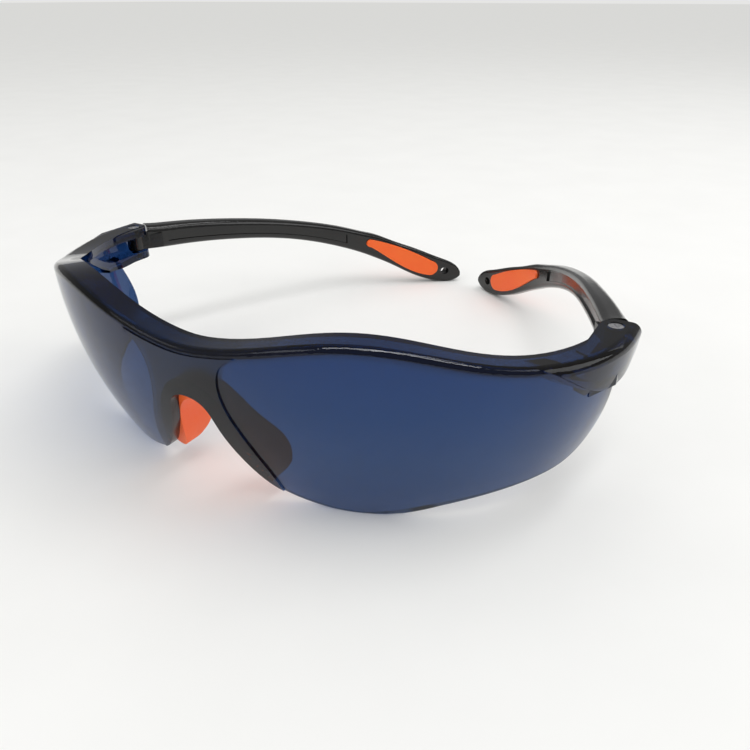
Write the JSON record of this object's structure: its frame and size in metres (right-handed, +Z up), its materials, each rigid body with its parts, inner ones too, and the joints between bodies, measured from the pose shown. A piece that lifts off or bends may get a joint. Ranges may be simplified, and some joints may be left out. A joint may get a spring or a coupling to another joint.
{
  "type": "safety glasses",
  "caption": "Wrap-around safety glasses: one-piece tinted shield with side pods, soft nose piece, and folding temples with grip inserts and cord holes.",
  "frame": {"origin": "centre of the bounding box in plan, on the surface the glasses stand on", "axes": "+X towards the wearer's left, +Y from the lenses back towards the ears, +Z up; front faces -Y"},
  "size_m": [0.155, 0.158, 0.0451],
  "materials": {
    "tinted_lens": "glossy tinted polycarbonate",
    "black_plastic": "gloss",
    "soft_orange": "satin",
    "steel": "satin"
  },
  "bodies": {
    "front": {"front_shield": "tinted_lens", "nose_piece": "soft_orange", "left_hinge_screw": "steel", "right_hinge_screw": "steel", "left_hinge_nut": "steel", "right_hinge_nut": "steel"},
    "left_arm": {"left_temple": "black_plastic", "left_grip": "soft_orange"},
    "right_arm": {"right_temple": "black_plastic", "right_grip": "soft_orange"}
  },
  "joints": [
    {"name": "left_temple_fold", "type": "hinge", "parent": "front", "child": "left_arm", "pos_m": [0.0726, -0.0218, 0.03265], "axis": [0, 0, 1], "range_deg": [-32, 56]},
    {"name": "right_temple_fold", "type": "hinge", "parent": "front", "child": "right_arm", "pos_m": [-0.0726, -0.0218, 0.03265], "axis": [0, 0, -1], "range_deg": [-30, 65]}
  ]
}
